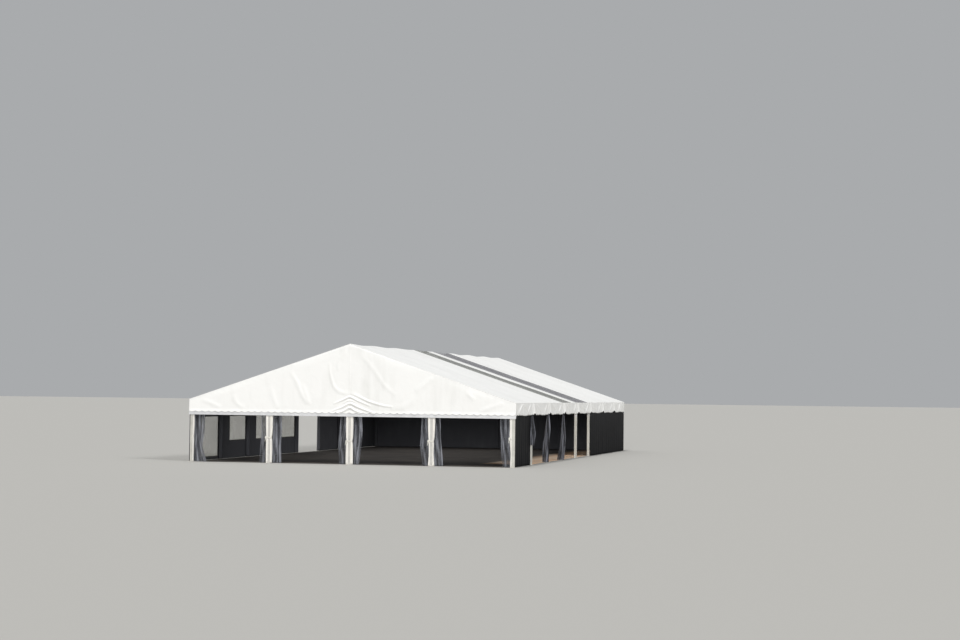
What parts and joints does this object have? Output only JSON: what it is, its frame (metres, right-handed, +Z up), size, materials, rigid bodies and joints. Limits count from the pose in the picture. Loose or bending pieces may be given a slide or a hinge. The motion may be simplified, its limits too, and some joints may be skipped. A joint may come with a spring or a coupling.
{
  "type": "frame marquee",
  "caption": "Rectangular frame marquee with a pitched white canopy, scalloped valances, tied-back curtains, clear roof lights and window walls, open at the front and partly along the sides",
  "frame": {"origin": "on the ground, at the middle of the floor plan", "axes": "+Z up, +Y from the front gable to the back along the ridge, +X to the right as seen from the front"},
  "size_m": [12.1, 24.2, 4.28],
  "materials": {
    "aluminium": "mill-finish extruded aluminium",
    "white_pvc": "white PVC-coated polyester, satin",
    "clear_pvc": "clear flexible PVC sheet, slightly hazed",
    "black_pvc": "black blackout wall curtain",
    "curtain": "white PVC-coated wall curtain, bunched",
    "sheer": "dark grey-blue voile drape",
    "lining": "black pleated lining cloth",
    "coir": "woven coir matting"
  },
  "bodies": {
    "root": {"frame_1": "aluminium", "frame_2": "aluminium", "frame_3": "aluminium", "frame_4": "aluminium", "frame_5": "aluminium", "frame_6": "aluminium", "frame_7": "aluminium", "frame_8": "aluminium", "frame_9": "aluminium", "front_gable_frame": "aluminium", "back_gable_rail": "aluminium", "back_post_1": "aluminium", "back_post_2": "aluminium", "back_post_3": "aluminium", "left_eave_rail": "aluminium", "right_eave_rail": "aluminium", "ridge_purlin": "aluminium", "roof_sheet_1": "white_pvc", "roof_sheet_2": "white_pvc", "roof_sheet_3": "white_pvc", "roof_sheet_4": "white_pvc", "roof_sheet_5": "white_pvc", "roof_sheet_6": "white_pvc", "roof_sheet_7": "white_pvc", "left_valance": "white_pvc", "right_valance": "white_pvc", "front_gable": "white_pvc", "back_gable": "white_pvc", "left_wall_1": "white_pvc", "left_wall_2": "white_pvc", "left_wall_3": "white_pvc", "left_wall_4": "white_pvc", "left_wall_rear": "white_pvc", "right_wall_rear": "black_pvc", "back_wall": "white_pvc", "roof_light_1": "clear_pvc", "roof_light_2": "clear_pvc", "left_window_1": "clear_pvc", "left_window_2": "clear_pvc", "left_window_3": "clear_pvc", "left_window_4": "clear_pvc", "right_wall_front": "black_pvc", "front_curtain_1": "curtain", "front_curtain_2": "curtain", "front_curtain_3": "curtain", "front_curtain_4": "curtain", "front_curtain_5": "curtain", "front_drape_1": "sheer", "front_drape_2": "sheer", "front_drape_3": "sheer", "front_drape_4": "sheer", "front_drape_5": "sheer", "side_drape_1": "sheer", "side_drape_2": "sheer", "side_drape_3": "sheer", "ceiling_lining": "lining", "floor_matting": "coir"}
  },
  "joints": []
}
